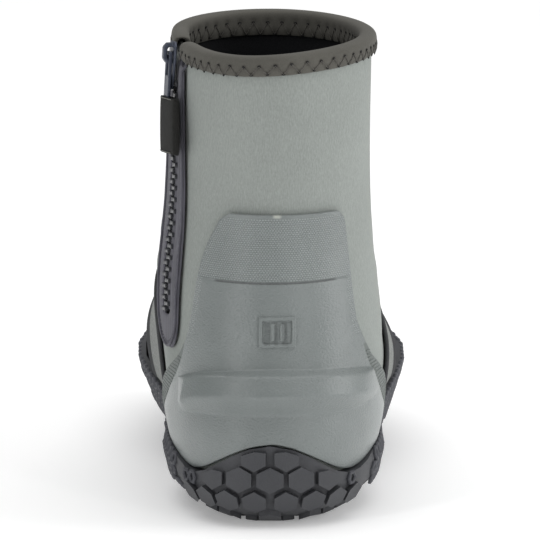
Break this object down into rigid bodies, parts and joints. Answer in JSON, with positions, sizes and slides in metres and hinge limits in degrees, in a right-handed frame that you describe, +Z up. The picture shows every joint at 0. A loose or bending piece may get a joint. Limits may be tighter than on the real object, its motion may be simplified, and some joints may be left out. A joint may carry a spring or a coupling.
{
  "type": "wading bootie",
  "caption": "Ankle-high wading bootie for a right foot: hollow neoprene upper, moulded heel counter with a kick ledge, hex-lugged rubber sole, soft bound collar and side zip with a hinged pull.",
  "frame": {"origin": "on the ground the sole stands on, under the middle of the part's box", "axes": "+X to the lateral (outer) side of the foot, +Y towards the toe, +Z up"},
  "size_m": [0.1134, 0.3066, 0.1991],
  "materials": {
    "neoprene": "matt knit-faced neoprene",
    "outsole_rubber": "matt moulded rubber",
    "insole_foam": "black lining cloth on foam",
    "counter_tpu": "fine-grained moulded plastic",
    "saddle_overlay": "matt bound overlay",
    "binding_fabric": "soft folded fabric",
    "zip_tape_cloth": "woven tape",
    "zip_teeth": "moulded teeth",
    "slider_metal": "slate paint on metal",
    "pull_metal": "slate paint on metal",
    "pull_cloth": "woven cloth sleeve"
  },
  "bodies": {
    "boot": {"upper": "neoprene", "outsole": "outsole_rubber", "insole": "insole_foam", "heel_counter": "counter_tpu", "instep_saddle": "saddle_overlay", "collar_binding": "binding_fabric", "zip_tape": "zip_tape_cloth", "zip_chain": "zip_teeth", "zip_slider": "slider_metal"},
    "pull": {"zip_pull": "pull_metal", "pull_webbing": "pull_cloth"}
  },
  "joints": [
    {"name": "pull_swing", "type": "hinge", "parent": "boot", "child": "pull", "pos_m": [-0.04175, -0.08738, 0.18929], "axis": [-0.1965, 0.9776, -0.0756], "range_deg": [0, 165]}
  ]
}
